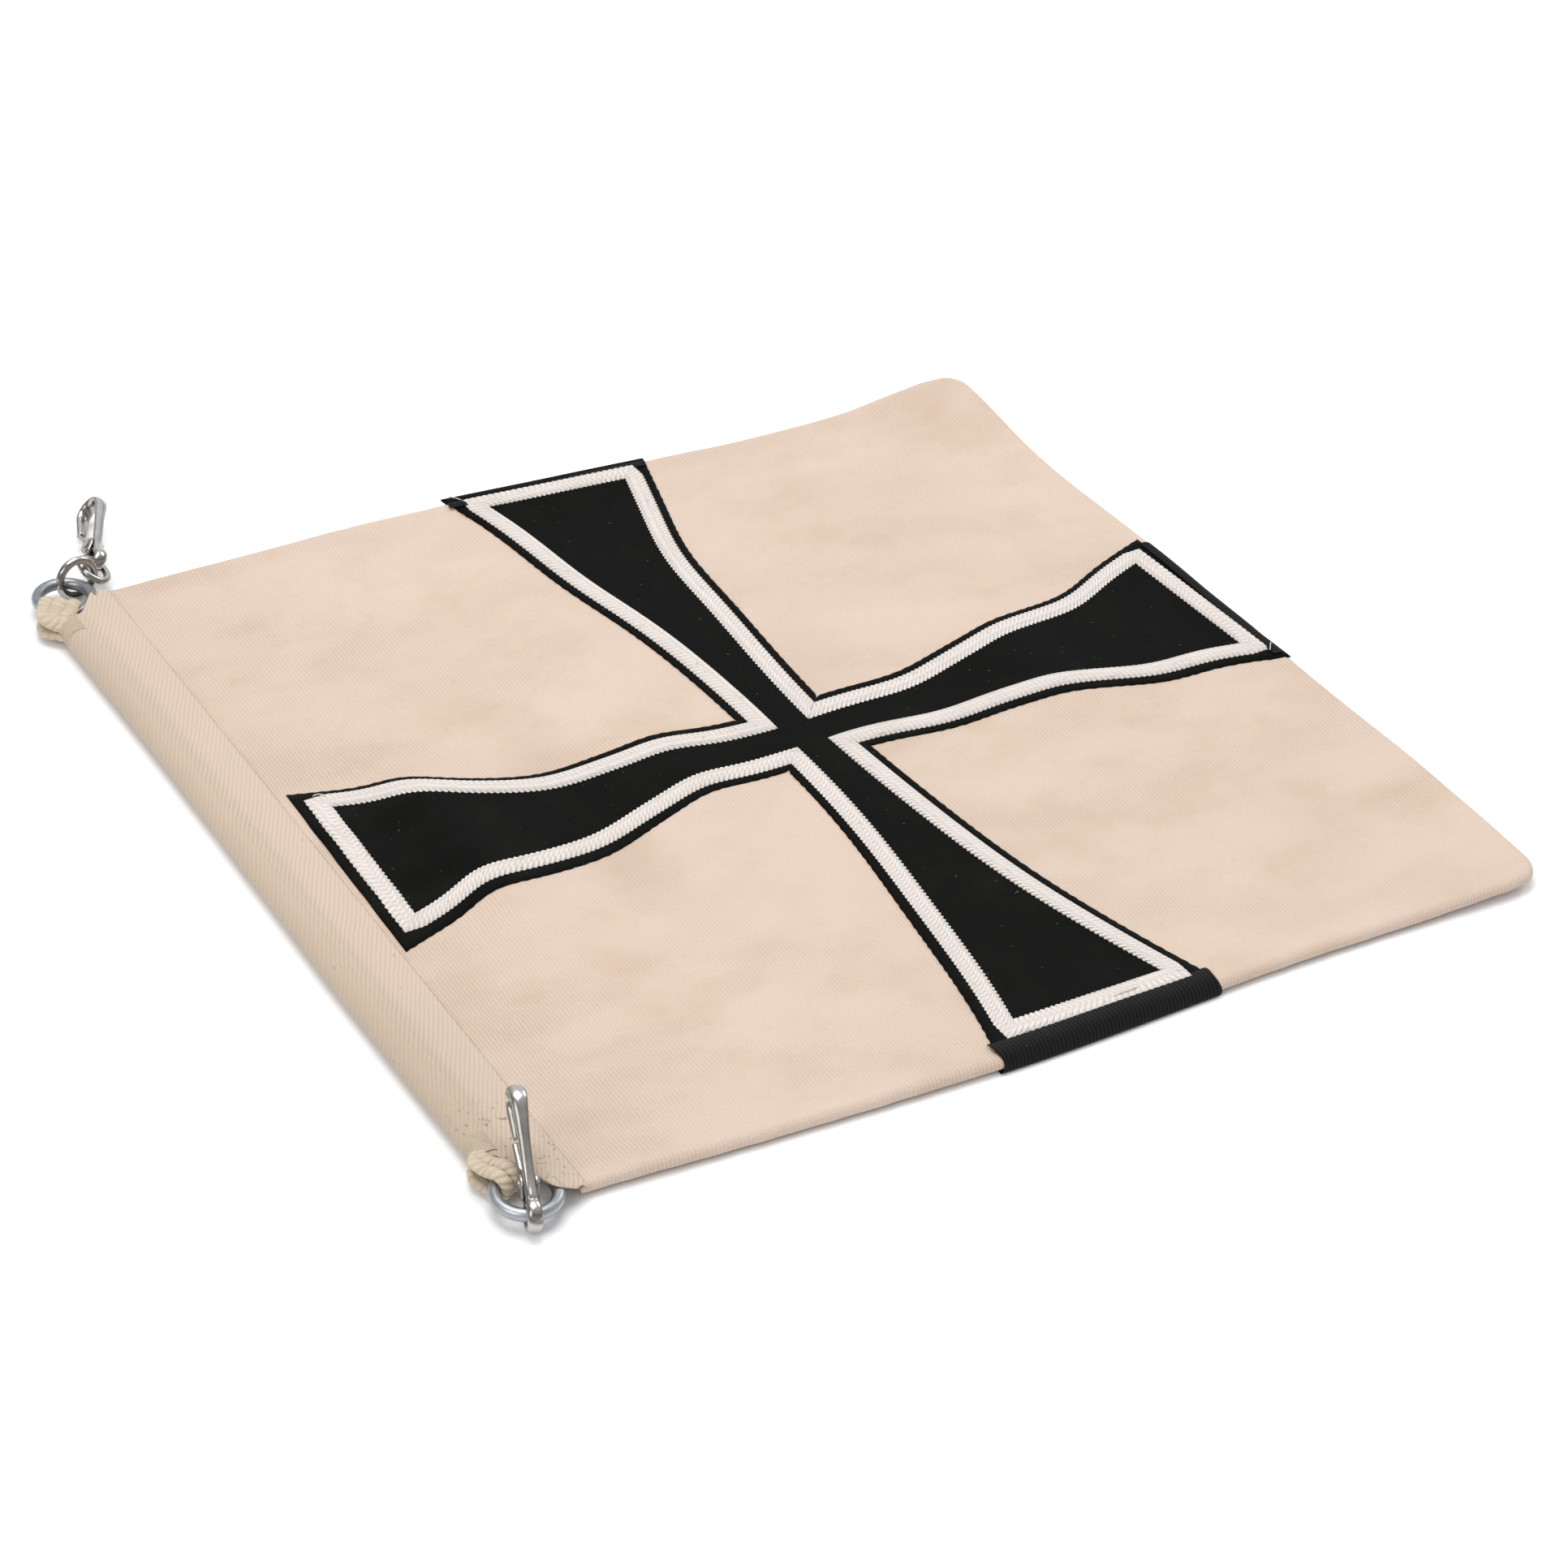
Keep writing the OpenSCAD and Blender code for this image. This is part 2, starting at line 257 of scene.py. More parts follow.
def cream_cloth():
    """Ribbed cream cloth with age stains, greyer beside the sleeve, with painted shade where it dips
    low at its hems.
    """
    g = Graph("cream_cloth")
    c = colours()
    x, y, z = g.parts(g.place())
    wander = g.noise(90, 2)
    rib = ribs(x + wander * 0.0011, sizes().rib_pitch)
    pick = ribs(y + wander * 0.0008, 0.00062)
    patchy = g.noise(17, 4, 0.6)
    rib_shows = (g.noise(24, 2, 0.5, stretch=(0.7, 1.6, 1)).above(0.42, 0.22) * 0.65 + 0.3
                 + (-0.085 - x).above(0.0, 0.06) * 0.5)
    stain = g.noise(26, 6, 0.66, stretch=(1, 1.3, 1)).above(0.47, 0.2)
    spots = g.noise(210, 3, 0.7).above(0.70, 0.10)
    blotch = g.noise(60, 4, 0.7).above(0.63, 0.12)
    greyer = (-0.118 - x).above(0.0, 0.05)
    base = g.mix(patchy, c.cream, tone(c.cream, 1.05))
    # painted shade: darker where the cloth turns down low at its hems
    hem_shade = (0.0019 - z).above(0.0, 0.0014)
    base = g.mix(stain * 0.5, base, c.stain)
    base = g.mix(blotch * 0.30, base, (0.55, 0.39, 0.25))
    base = g.mix(greyer * 0.25, base, c.tape)
    base = g.mix((1 - rib) * rib_shows * 0.30, base, (0.44, 0.32, 0.22))
    base = g.mix(spots * 0.25, base, (0.36, 0.27, 0.18))
    # painted shade at the hems
    base = g.mix(hem_shade * 0.45, base, (0.36, 0.26, 0.16))
    height = rib * rib_shows * 0.7 + pick * 0.25 + g.noise(900, 2) * 0.5
    g.bump(height, 0.0003, 0.8)
    return g.set(Base_Color=base, Roughness=0.92, Sheen_Weight=0.12, Sheen_Roughness=0.6,
                 Specular_IOR_Level=0.15)


def black_cloth():
    """Dull black weave with a little dust and lint."""
    g = Graph("black_cloth")
    c = colours()
    x, y, _ = g.parts(g.place())
    weave = ribs(x + y * 0.6, 0.0009) * 0.5 + ribs(y, 0.0007) * 0.5
    fade = g.noise(30, 4, 0.6)
    lint = g.noise(700, 2, 0.5).above(0.735, 0.03)
    dust = g.noise(45, 5, 0.7).above(0.50, 0.3)
    base = g.mix(fade * 0.6, c.black, tone(c.black, 1.7))
    base = g.mix(dust * 0.04, base, (0.10, 0.10, 0.085))
    base = g.mix(lint * 0.35, base, (0.16, 0.15, 0.12))
    g.bump(weave * 0.6 + g.noise(1100, 2) * 0.7, 0.00016, 0.5)
    return g.set(Base_Color=base, Roughness=0.9, Sheen_Weight=0.02, Sheen_Roughness=0.5,
                 Specular_IOR_Level=0.05)


def wrap_cloth():
    """The same black cloth where it is drawn ribbed round an edge; ribs run across the strip."""
    g = Graph("black_cloth_ribbed")
    c = colours()
    along = g.parts(g.strip())[0]
    rib = ribs(along + g.noise(160, 2) * 0.0006, 0.00125)
    lint = g.noise(600, 2, 0.5).above(0.72, 0.04)
    base = g.mix(rib * 0.8, tone(c.black, 0.7), tone(c.black, 2.1))
    base = g.mix(lint * 0.3, base, (0.16, 0.15, 0.13))
    g.bump(rib + g.noise(900, 2) * 0.4, 0.0003, 0.6)
    return g.set(Base_Color=base, Roughness=0.9, Specular_IOR_Level=0.16, Sheen_Weight=0.05)


def white_braid():
    """Herringbone braid; the strip's own coordinates run along it and across it, in metres."""
    g = Graph("white_braid")
    c = colours()
    along, across, _ = g.parts(g.strip())
    vee = (across - sizes().braid_width * 0.5).abs()
    herring = ribs(along + vee * 0.8 + g.noise(200, 2) * 0.0007, 0.0017)
    yarn = ribs(along - vee * 1.1, 0.0007)
    soiled = g.noise(55, 4, 0.65).above(0.5, 0.25)
    edge = (vee / (sizes().braid_width * 0.5)).above(0.78, 0.3)
    base = g.mix(soiled * 0.35, c.braid, (0.60, 0.53, 0.46))
    base = g.mix((1 - herring) ** 2 * 0.38, base, (0.40, 0.365, 0.32))
    base = g.mix(edge * 0.18, base, (0.40, 0.38, 0.33))
    base = g.mix(g.noise(420, 2).above(0.66, 0.06) * 0.35, base, (0.30, 0.27, 0.22))
    g.bump(herring + yarn * 0.4 + g.noise(900, 2) * 0.9, 0.0004, 0.7)
    return g.set(Base_Color=base, Roughness=0.88, Sheen_Weight=0.2, Specular_IOR_Level=0.2)


def sleeve_tape():
    """Twill tape with painted shade along the outer side of the roll and towards the front, speckled
    at its front corner.
    """
    g = Graph("sleeve_tape")
    c = colours()
    x, y, _ = g.parts(g.place())
    wander = g.noise(70, 2) * 0.0012
    twill = ribs(x * 0.88 - y * 0.47 + wander, 0.00122)
    pick = ribs(y * 0.8 + x * 0.5, 0.0007)
    grey = g.noise(20, 4, 0.6)
    # painted shade along the outer side of the roll
    outer = (-0.166 - x).above(0.0, 0.012)
    # painted shade towards the front end of the sleeve
    front = (-0.02 - y).above(0.0, 0.14)
    off_corner = g.node("ShaderNodeVectorMath", {"operation": "DISTANCE"},
                        {0: g.place(), 1: (-0.164, -0.130, 0.008)}, output=1)
    specks = g.noise(620, 2, 0.5).above(0.63, 0.04) * (1 - off_corner.above(0.004, 0.022))
    few = g.noise(330, 2, 0.5).above(0.74, 0.03)
    base = g.mix(grey, tone(c.tape, 0.93), tone(c.tape, 1.08))
    # painted shade towards the front
    base = g.mix(front * 0.5, base, (0.46, 0.38, 0.285))
    near_seam = (x + 0.169).above(0.0, 0.013)
    base = g.mix(near_seam * 0.55, base, c.cream)
    # painted shade on the roll's outer side
    base = g.mix(outer * 0.5, base, (0.37, 0.295, 0.205))
    base = g.mix((1 - twill) * 0.30, base, (0.37, 0.295, 0.215))
    base = g.mix((specks + few * 0.5).clamp() * 0.75, base, (0.10, 0.085, 0.065))
    g.bump(twill * 0.8 + pick * 0.3 + g.noise(800, 2) * 0.5, 0.0003, 0.6)
    return g.set(Base_Color=base, Roughness=0.93, Sheen_Weight=0.2, Specular_IOR_Level=0.18)


def laid_rope():
    """Laid rope; the strip's own coordinates run along the strand and round it."""
    g = Graph("laid_rope")
    c = colours()
    along, around, _ = g.parts(g.strip())
    lay = ribs(along + around * 0.5, 0.0018)
    fibre = g.noise(1400, 3, 0.6, stretch=(1, 1, 2))
    dirt = g.noise(140, 4, 0.7).above(0.48, 0.3)
    base = g.mix(fibre, tone(c.rope, 0.86), tone(c.rope, 1.15))
    base = g.mix((1 - lay) * 0.28, base, (0.38, 0.29, 0.19))
    base = g.mix(dirt * 0.30, base, (0.30, 0.22, 0.14))
    g.bump(lay + fibre * 0.5, 0.0005, 0.7)
    return g.set(Base_Color=base, Roughness=0.9, Sheen_Weight=0.2, Specular_IOR_Level=0.2)


def waxed_thread():
    g = Graph("waxed_thread")
    turns = ribs(g.parts(g.place())[1], 0.0008)
    base = g.mix(turns, (0.34, 0.26, 0.18), (0.62, 0.52, 0.40))
    base = g.mix(g.noise(500, 3).above(0.55, 0.2) * 0.3, base, (0.25, 0.19, 0.12))
    g.bump(turns, 0.0003, 0.7)
    return g.set(Base_Color=base, Roughness=0.75)


def galvanised_steel():
    """Dull zinc with cloudy patches and fine scratches."""
    g = Graph("galvanised_steel")
    c = colours()
    cloud = g.noise(420, 4, 0.65)
    dark = g.noise(900, 3, 0.7).above(0.60, 0.12)
    scratch = g.noise(700, 2, 0.6, stretch=(1, 1, 6)).above(0.66, 0.05)
    base = g.mix(cloud, tone(c.zinc, 0.78), tone(c.zinc, 1.15))
    base = g.mix(dark * 0.45, base, (0.22, 0.22, 0.22))
    rough = cloud * 0.16 + 0.30 + scratch * 0.1
    g.bump(cloud + scratch * 0.3, 0.00008, 0.5)
    return g.set(Base_Color=base, Metallic=1.0, Roughness=rough)


def plated_steel():
    """Worn plating; bands that follow the way the surface faces stand in for reflections."""
    g = Graph("plated_steel")
    c = colours()
    wear = g.noise(520, 4, 0.7).above(0.60, 0.10)
    smear = g.noise(160, 3, 0.6)
    pits = g.noise(1500, 2, 0.5).above(0.72, 0.05)
    nx, _, nz = g.parts(Sock(g, g.coords.outputs["Normal"]))
    lean = (nz + nx * 0.15 + smear * 0.25 - 0.12).above(0.0, 1.0)
    dusky = g.node("ShaderNodeValToRGB", {"stops": [
        (0.0, (0.50, 0.49, 0.47, 1)), (0.22, (0.10, 0.09, 0.08, 1)), (0.42, (0.30, 0.28, 0.25, 1)),
        (0.60, (0.12, 0.105, 0.09, 1)), (0.86, (0.55, 0.52, 0.48, 1)), (1.0, (0.85, 0.83, 0.8, 1))]},
        {0: lean})
    base = g.mix(0.85, c.chrome, dusky)
    base = g.mix(wear * 0.5, base, (0.36, 0.34, 0.31))
    base = g.mix(pits * 0.5, base, (0.13, 0.11, 0.09))
    rough = smear * 0.10 + 0.14 + wear * 0.2
    g.bump(smear * 0.3 + wear * 0.3 - pits * 0.3, 0.00004, 0.2)
    return g.set(Base_Color=base, Metallic=1.0, Roughness=rough)


def spring_steel():
    g = Graph("spring_steel")
    x, _, z = g.parts(g.place())
    coil = ribs(x * 0.7 + z * 0.7, 0.0004)
    base = g.mix(coil, (0.16, 0.16, 0.16), (0.42, 0.42, 0.43))
    g.bump(coil, 0.0002, 0.6)
    return g.set(Base_Color=base, Metallic=1.0, Roughness=g.noise(600, 3) * 0.2 + 0.3)


def studio_floor():
    g = Graph("studio_floor")
    base = g.mix(g.noise(3, 3), (0.93, 0.93, 0.93), (0.95, 0.95, 0.95))
    return g.set(Base_Color=base, Roughness=0.75, Specular_IOR_Level=0.1)


FINISHES = {f.__name__: f for f in (
    cream_cloth, black_cloth, wrap_cloth, white_braid, sleeve_tape, laid_rope, waxed_thread,
    galvanised_steel, plated_steel, spring_steel, studio_floor)}
made_finishes = {}


def material(name):
    """Each finish is made once and then shared."""
    if name not in made_finishes:
        made_finishes[name] = FINISHES[name]()
    return made_finishes[name]


# ---------------------------------------------------------------- shape helpers

def bend(points):
    """A smooth curve through (place, value) points, as a function of place."""
    px = np.array([p[0] for p in points], float)
    py = np.array([p[1] for p in points], float)
    slope = np.gradient(py, px)

    def value(at):
        at = np.clip(np.asarray(at, float), px[0], px[-1])
        k = np.clip(np.searchsorted(px, at, side="right") - 1, 0, len(px) - 2)
        h = px[k + 1] - px[k]
        t = (at - px[k]) / h
        return ((2 * t**3 - 3 * t**2 + 1) * py[k] + (t**3 - 2 * t**2 + t) * h * slope[k]
                + (3 * t**2 - 2 * t**3) * py[k + 1] + (t**3 - t**2) * h * slope[k + 1])

    return value


def bell(value, middle, width):
    """1 at the middle, falling smoothly to nothing on both sides."""
    return np.exp(-((value - middle) / width) ** 2)


def ease(value, low, high):
    """0 below low, 1 above high, smooth between."""
    t = np.clip((value - low) / (high - low), 0, 1)
    return t * t * (3 - 2 * t)


def soft_noise(x, y, pitch, seed=0.0):
    """Smooth noise from -1 to 1 over the plane, with features about pitch long."""
    x, y = np.broadcast_arrays(np.asarray(x, float), np.asarray(y, float))
    flat = [mnoise.noise(Vector((a / pitch, b / pitch, SEED + seed)))
            for a, b in zip(x.ravel(), y.ravel())]
    return np.array(flat).reshape(x.shape)


def add_mesh(name, points, faces, finish, body, uv=None):
    """points are millimetres; uv, if given, holds one pair for each point, in metres."""
    mesh = bpy.data.meshes.new(name)
    mesh.from_pydata([tuple(p) for p in np.asarray(points, float) * MM], [], faces)
    if uv is not None:
        layer = mesh.uv_layers.new(name="strip")
        index = np.zeros(len(mesh.loops), int)
        mesh.loops.foreach_get("vertex_index", index)
        layer.data.foreach_set("uv", np.asarray(uv, float)[index].ravel())
    mesh.validate()
    mesh.polygons.foreach_set("use_smooth", [True] * len(mesh.polygons))
    mesh.update()
    obj = bpy.data.objects.new(name, mesh)
    bpy.context.scene.collection.objects.link(obj)
    obj.data.materials.append(material(finish))
    if body:
        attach(obj, body)
    return obj


def grid_faces(rows, cols, loop_cols=False, start=0, flip=False):
    """Quads between the points of a grid that is numbered row by row."""
    faces = []
    for i in range(rows - 1):
        for j in range(cols if loop_cols else cols - 1):
            a = start + i * cols + j
            b = start + i * cols + (j + 1) % cols
            c = b + cols
            d = a + cols
            faces.append((a, d, c, b) if flip else (a, b, c, d))
    return faces


def sweep(path, sections, normal=(0, 0, 1), round_steps=20, power=2.4):
    """Points and faces of a bar along path. sections gives (half thickness, half depth) at
    each path point; the depth lies along normal. Returns points, faces and strip coordinates."""
    path = np.asarray(path, float)
    n = len(path)
    sections = np.asarray(sections, float)
    nrm = np.asarray(normal, float) / np.linalg.norm(normal)
    ahead = np.roll(path, -1, 0) - np.roll(path, 1, 0)
    ahead[0], ahead[-1] = path[1] - path[0], path[-1] - path[-2]
    ahead /= np.linalg.norm(ahead, axis=1)[:, None]
    side = np.cross(nrm, ahead)
    side /= np.linalg.norm(side, axis=1)[:, None]
    up = np.cross(ahead, side)
    angle = np.linspace(0, 2 * np.pi, round_steps, endpoint=False)
    ca, sa = np.cos(angle), np.sin(angle)
    ca = np.sign(ca) * np.abs(ca) ** (2 / power)
    sa = np.sign(sa) * np.abs(sa) ** (2 / power)
    pts = (path[:, None] + side[:, None] * (ca[None, :] * sections[:, :1])[..., None]
           + up[:, None] * (sa[None, :] * sections[:, 1:])[..., None])
    run = np.concatenate([[0], np.cumsum(np.linalg.norm(np.diff(path, axis=0), axis=1))])
    uv = np.stack([np.broadcast_to(run[:, None], (n, round_steps)),
                   np.broadcast_to(angle[None] * sections[:, :1], (n, round_steps))], -1) * MM
    faces = grid_faces(n, round_steps, loop_cols=True, flip=True)
    for end, order in ((0, 1), (n - 1, -1)):
        ring = [end * round_steps + k for k in range(round_steps)]
        faces.append(tuple(ring[::order]))
    return pts.reshape(-1, 3), faces, uv.reshape(-1, 2)


def join(parts):
    """One set of points, faces and strip coordinates from several."""
    points, faces, uvs, count = [], [], [], 0
    for p, f, uv in parts:
        points.append(np.asarray(p, float))
        faces += [tuple(i + count for i in face) for face in f]
        uvs.append(uv)
        count += len(p)
    return np.vstack(points), faces, np.vstack(uvs)


def weld(obj):
    """Joins points that coincide and turns all faces the same way out."""
    bm = bmesh.new()
    bm.from_mesh(obj.data)
    bmesh.ops.remove_doubles(bm, verts=bm.verts, dist=0.00002)
    bmesh.ops.recalc_face_normals(bm, faces=bm.faces)
    bm.to_mesh(obj.data)
    bm.free()
    obj.data.update()


def thicken(obj, thickness, side):
    """Adds the layer's thickness towards the field, so that its edge shows."""
    up = np.mean([p.normal.z for p in obj.data.polygons[:400]])
    mod = obj.modifiers.new("thickness", "SOLIDIFY")
    mod.thickness = thickness * MM
    mod.offset = -1.0 if up * side > 0 else 1.0
    apply_modifiers(obj)


def apply_modifiers(obj):
    deps = bpy.context.evaluated_depsgraph_get()
    done = bpy.data.meshes.new_from_object(obj.evaluated_get(deps))
    done.name = obj.data.name
    obj.modifiers.clear()
    obj.data = done


def resample(path, count):
    """A smooth path of count evenly spaced points through the given ones."""
    path = np.asarray(path, float)
    run = np.concatenate([[0], np.cumsum(np.linalg.norm(np.diff(path, axis=0), axis=1))])
    at = np.linspace(0, run[-1], count)
    return np.stack([bend(list(zip(run, path[:, k])))(at) for k in range(3)], -1)


def rotation(axis, degrees):
    return np.array(Matrix.Rotation(math.radians(degrees), 3, axis))


def heading(degrees):
    """Direction over the floor, turned from +Y towards +X."""
    a = math.radians(degrees)
    return np.array([math.sin(a), math.cos(a), 0])


def paint(node, finish):
    """Gives a CAD node its finish."""
    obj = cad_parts[node]
    obj.data.materials.clear()
    obj.data.materials.append(material(finish))


# ---------------------------------------------------------------- the field's outline and height

SEAM_X = -155.0
START_X = SEAM_X - 1.2        # the field starts a little under the sleeve's edge
FIELD_WIDE, FIELD_DEEP = 314.2, 304
CORNER_R = 9.0                # radius of the two fly corners
# the three free edges: y along x for the rear and front, x along y for the fly
rear_edge = bend([(-156, 151.8), (-42, 153.4), (32, 150.0), (91, 147.8), (150, 148.4)])
front_edge = bend([(-156, -149.6), (-89, -153.0), (-30, -155.0), (76, -152.4), (160, -154.0)])
fly_edge = bend([(-156, 156.0), (-113, 158.3), (-30, 156.0), (42, 153.4), (120, 148.6),
                 (150, 147.6)])
REAR_CORNER = (144.0, 146.0)
FRONT_CORNER = (153.0, -149.0)


def inset(x, y):
    """Distance in from the nearest free edge of the field."""
    return np.minimum(np.minimum(rear_edge(x) - y, y - front_edge(x)), fly_edge(y) - x)


def in_from_edge(edge, along, depth):
    """Where points lie along one free edge of the field, depth in from it."""
    if edge == "rear":
        return along, rear_edge(along) - depth
    if edge == "front":
        return along, front_edge(along) + depth
    return fly_edge(along) - depth, along


def corner_lift(x, y):
    """The two fly corners curl up a little."""
    rear = np.hypot(x - REAR_CORNER[0], y - REAR_CORNER[1])
    front = np.hypot(x - FRONT_CORNER[0], y - FRONT_CORNER[1])
    return 5.6 * bell(rear, 0, 34) + 1.3 * bell(front, 0, 30)


def cream_top(x, y):
    """Height of the cream cloth's upper face."""
    x, y = np.asarray(x, float), np.asarray(y, float)
    k = sizes().ripple
    rise = 2.1 * bell(np.maximum(inset(x, y), 0), 0, 13)
    seam = 1.9 * bell(x, SEAM_X, 15)
    swell = (4.2 * bell(x, -116, 14) * bell(y, -6, 50) + 2.2 * bell(x, -42, 15) * bell(y, 0, 42)
             + 2.2 * bell(x, 80, 15) * bell(y, 5, 44) - 0.9 * bell(x, -76, 15) * bell(y, 0, 45))
    near_sleeve = np.exp(-np.maximum(x - SEAM_X, 0) / 42)
    folds = near_sleeve * (0.55 * np.sin(y / 4.3 + 0.02 * x + 1.2 * np.sin(y / 31))
                           + 0.30 * np.sin(y / 2.2 + 1.0))
    folds *= bell(np.abs(x - SEAM_X), 24, 26) * 1.2
    loose = 0.45 * soft_noise(x, y, 46, 2.0) + 0.22 * soft_noise(x, y, 19, 5.0)
    return 1.95 + np.maximum(rise, seam) + k * (swell + folds + loose) + corner_lift(x, y)


def underside(x, y):
    """Height of the field's lower face; it rests on the floor where it can."""
    return np.maximum(0.45, cream_top(x, y) - 3.6) * 0.6 + corner_lift(x, y) * 0.75


# ---------------------------------------------------------------- the cross

TURN = math.radians(2.1)      # the cross sits a little askew on the field
CROSS_AT = np.array([0.5, 1.45])
INNER = 5.3                   # half width of the inner black at the crossing
HOLLOW_R = 501.0              # radius of the arms' hollow sides
CLOTH_PROUD = 0.45            # how far the black cloth stands over the cream cloth
TOOTH, TOOTH_PITCH = 0.26, 1.7    # height and spacing of the teeth on the braid's edges
END_STRIP = 50                # length kept for the braid's strip across one arm's end
# from the stage's camera, a point raised by one unit looks moved this far over the floor
LEAN = np.array([0.769, 1.146])
LEVEL = 4.5                   # height at which that move is nothing
# each arm: direction, start offset along it and beside it, soft sideways bumps of its middle line
# as (size, middle, width), end width share, length, slant of its end, and how much wider the
# black margin gets on its two sides
ARMS = {
    "hoist": ((-1, 0), 2.45, 3.9, [(-2.6, 40, 13), (4.4, 82, 19), (-3.4, 118, 12)],
              1.025, 143.5, 0.057, (-0.9, 1.6)),
    "front": ((0, -1), 3.9, -2.45, [(-1.3, 90, 38)], 0.935, 143.2, 0.037, (0.9, 0.0)),
    "fly": ((1, 0), -2.45, -3.9, [(-3.0, 42, 18), (1.1, 82, 11), (-3.0, 112, 15)],
            0.98, 143.2, -0.038, (1.0, -0.6)),
    "rear": ((0, 1), -3.9, 2.45, [(2.5, 97, 26)], 0.915, 142.2, 0.10, (0.0, 0.3)),
}


def arm_half(s, share):
    """Half width of the inner black at a distance s from the crossing."""
    hollow = INNER + HOLLOW_R - np.sqrt(HOLLOW_R**2 - s * s)
    return hollow * (1 + (share - 1) * ease(s, 30, 143))


def arm_place(arm, s, t):
    """Where a point of an arm lies on the flag: s out from the crossing, t across the arm."""
    (dx, dy), begin, beside, bumps, _, end, slant, _ = ARMS[arm]
    c, q = math.cos(TURN), math.sin(TURN)
    along = np.array([dx * c - dy * q, dx * q + dy * c])
    across = np.array([-along[1], along[0]])
    s, t = np.broadcast_arrays(np.asarray(s, float), np.asarray(t, float))
    fades = 1 - np.clip(s / end, 0, 1)
    out = s + begin * fades + t * slant * ease(s, 60, end)
    shift = beside * fades + sum(size * bell(s, at, width) for size, at, width in bumps)
    seen = CROSS_AT + out[..., None] * along + (t + shift)[..., None] * across
    place = seen.copy()
    for _ in range(3):
        lift = cream_top(place[..., 0], place[..., 1]) + CLOTH_PROUD - LEVEL
        place = seen - lift[..., None] * LEAN
    return place


def on_face(arm, s, t, side, proud, floor_gap):
    """Points of an arm, proud of the field's front (side 1) or back (side -1) face."""
    place = arm_place(arm, s, t)
    if side > 0:
        z = cream_top(place[..., 0], place[..., 1]) + proud
    else:
        z = np.maximum(underside(place[..., 0], place[..., 1]) - proud, floor_gap)
    return np.concatenate([place, z[..., None]], -1).reshape(-1, 3)


def cross_cloth(name, side, step):
    """Black cloth of one face: four arms that meet along their diagonals."""
    margin = (sizes().braid_width + sizes().margin_width) / MM
    parts = []
    for arm in ARMS:
        share, end, _, sides = ARMS[arm][4:]
        last = end + margin + (0.6 if arm == "hoist" else 0.3)
        rows = np.concatenate([[0.0], np.linspace(2.5, last, int(last / step))])
        cols = np.linspace(-1, 1, 33)
        extra = ease(rows, 25, 110)[:, None] * np.where(cols < 0, *sides)[None]
        half = np.minimum(arm_half(rows, share) + margin, np.maximum(rows, 1e-4))[:, None] + extra
        s = np.broadcast_to(rows[:, None], (len(rows), len(cols)))
        t = half * cols[None]
        fray = 0.16 * np.sin(s * 2.1 + 3 * np.sin(s / 7)) * (np.abs(cols) > 0.99)
        t = t + fray * np.sign(t)
        points = on_face(arm, s, t, side, CLOTH_PROUD, 0.02)
        uv = np.stack([s, t], -1).reshape(-1, 2) * MM
        parts.append((points, grid_faces(len(rows), len(cols), flip=side > 0), uv))
    points, faces, uv = join(parts)
    obj = add_mesh(name, points, faces, "black_cloth", "field", uv)
    weld(obj)
    thicken(obj, 0.5, side)
    return obj


def braid(name, side, step):
    """White braid along the whole outline of the cross, a low rounded band with mitred corners."""
    width = sizes().braid_width / MM
    tall = sizes().braid_height / MM
    cols = np.linspace(0, 1, 9)
    crown = np.sqrt(np.clip(1 - (2 * cols - 1) ** 6, 0, 1))
    parts = []
    run = 0.0
    for arm in ARMS:
        share, end = ARMS[arm][4:6]
        inner0 = INNER + 0.05
        outer0 = inner0 + width
        for sign in (-1, 1):
            f = np.linspace(0, 1, int(end / step))
            s_in = inner0 + (end - inner0) * f
            s_out = outer0 + (end + width - outer0) * f
            s = s_in[:, None] * (1 - cols) + s_out[:, None] * cols
            t_in = arm_half(s_in, share)
            t_out = arm_half(np.minimum(s_out, end), share) + width
            t_in[0], t_out[0] = inner0, outer0
            tooth = TOOTH * np.sin(f * end * 2 * np.pi / TOOTH_PITCH) * (1 - (2 * f - 1) ** 20)
            t = (t_in + tooth)[:, None] * (1 - cols) + (t_out + tooth * 0.8)[:, None] * cols
            parts.append(braid_part(arm, s, t * sign, side, tall * crown, run + f * end, cols,
                                    sign * side < 0))
            run += end
        f = np.linspace(-1, 1, int(END_STRIP / step))
        half_in = arm_half(end, share)
        tooth = TOOTH * np.sin(f * END_STRIP * np.pi / TOOTH_PITCH) * (1 - f**20)
        s = (end + tooth)[:, None] * (1 - cols) + (end + width + tooth * 0.8)[:, None] * cols
        t = f[:, None] * (half_in + width * cols[None])
        parts.append(braid_part(arm, s, t, side, tall * crown, run + (f + 1) * half_in, cols,
                                side > 0))
        run += END_STRIP
    points, faces, uv = join(parts)
    return add_mesh(name, points, faces, "white_braid", "field", uv)


def braid_part(arm, s, t, side, proud, run, cols, flip):
    """One stretch of braid; run is how far along the whole braid each row lies."""
    proud = CLOTH_PROUD + proud[None] * (1 if side > 0 else 0.3)
    points = on_face(arm, s, t, side, proud, 0.0)
    uv = np.stack(np.broadcast_arrays(run[:, None], cols[None] * sizes().braid_width / MM), -1)
    return points, grid_faces(s.shape[0], s.shape[1], flip=flip), uv.reshape(-1, 2) * MM


# ---------------------------------------------------------------- the hoist's rope and rings

ROPE_X, ROPE_Z = -172.9, 4.35     # the middle of the roll round the rope
# the middles of the two hoist rings, and the radius of their wire's middle line
FRONT_RING = np.array([-170.5, -146.5, 5.0])
REAR_RING = np.array([-168.7, 151.0, 5.0])
RING_R = 8.2


# ---------------------------------------------------------------- the snap hooks

# the rear hook hangs on the small ring: its middle, and the radius of its wire's middle line
SMALL_RING = np.array([-155.87, 159.05, 6.99])
SMALL_RING_R = 4.7
